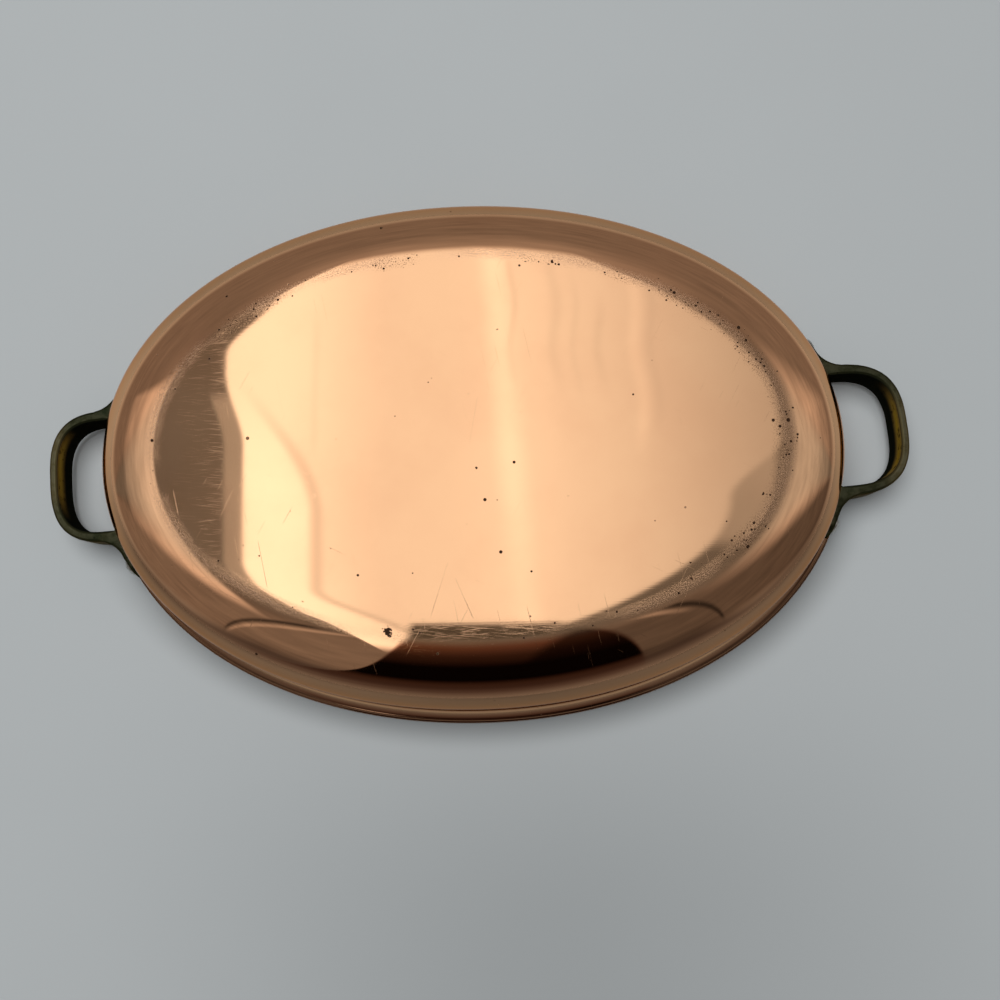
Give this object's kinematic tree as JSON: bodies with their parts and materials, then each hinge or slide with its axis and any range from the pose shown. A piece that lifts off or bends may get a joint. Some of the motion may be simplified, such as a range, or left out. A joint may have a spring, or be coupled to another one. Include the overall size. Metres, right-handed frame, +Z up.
{
  "type": "oval gratin pan",
  "caption": "Shallow oval copper gratin pan with a flat base, a flared lip, a pale metal lining and riveted brass loop handles at both ends.",
  "frame": {"origin": "centre of the flat base's underside", "axes": "+X along the oval's long axis through both handles, +Y across, +Z up through the open mouth"},
  "size_m": [0.4054, 0.253, 0.0485],
  "materials": {
    "copper": "polished, lightly scratched and pitted with use",
    "lining": "satin pale metal skin with fine round brushing",
    "brass": "cast, darkened green-brown with rubbed golden edges",
    "rivet": "dull grey hammered heads"
  },
  "bodies": {
    "root": {"pan_body": "copper", "lining": "lining", "handle_left": "brass", "handle_right": "brass", "rivet_left_front": "rivet", "rivet_left_back": "rivet", "rivet_right_front": "rivet", "rivet_right_back": "rivet"}
  },
  "joints": []
}
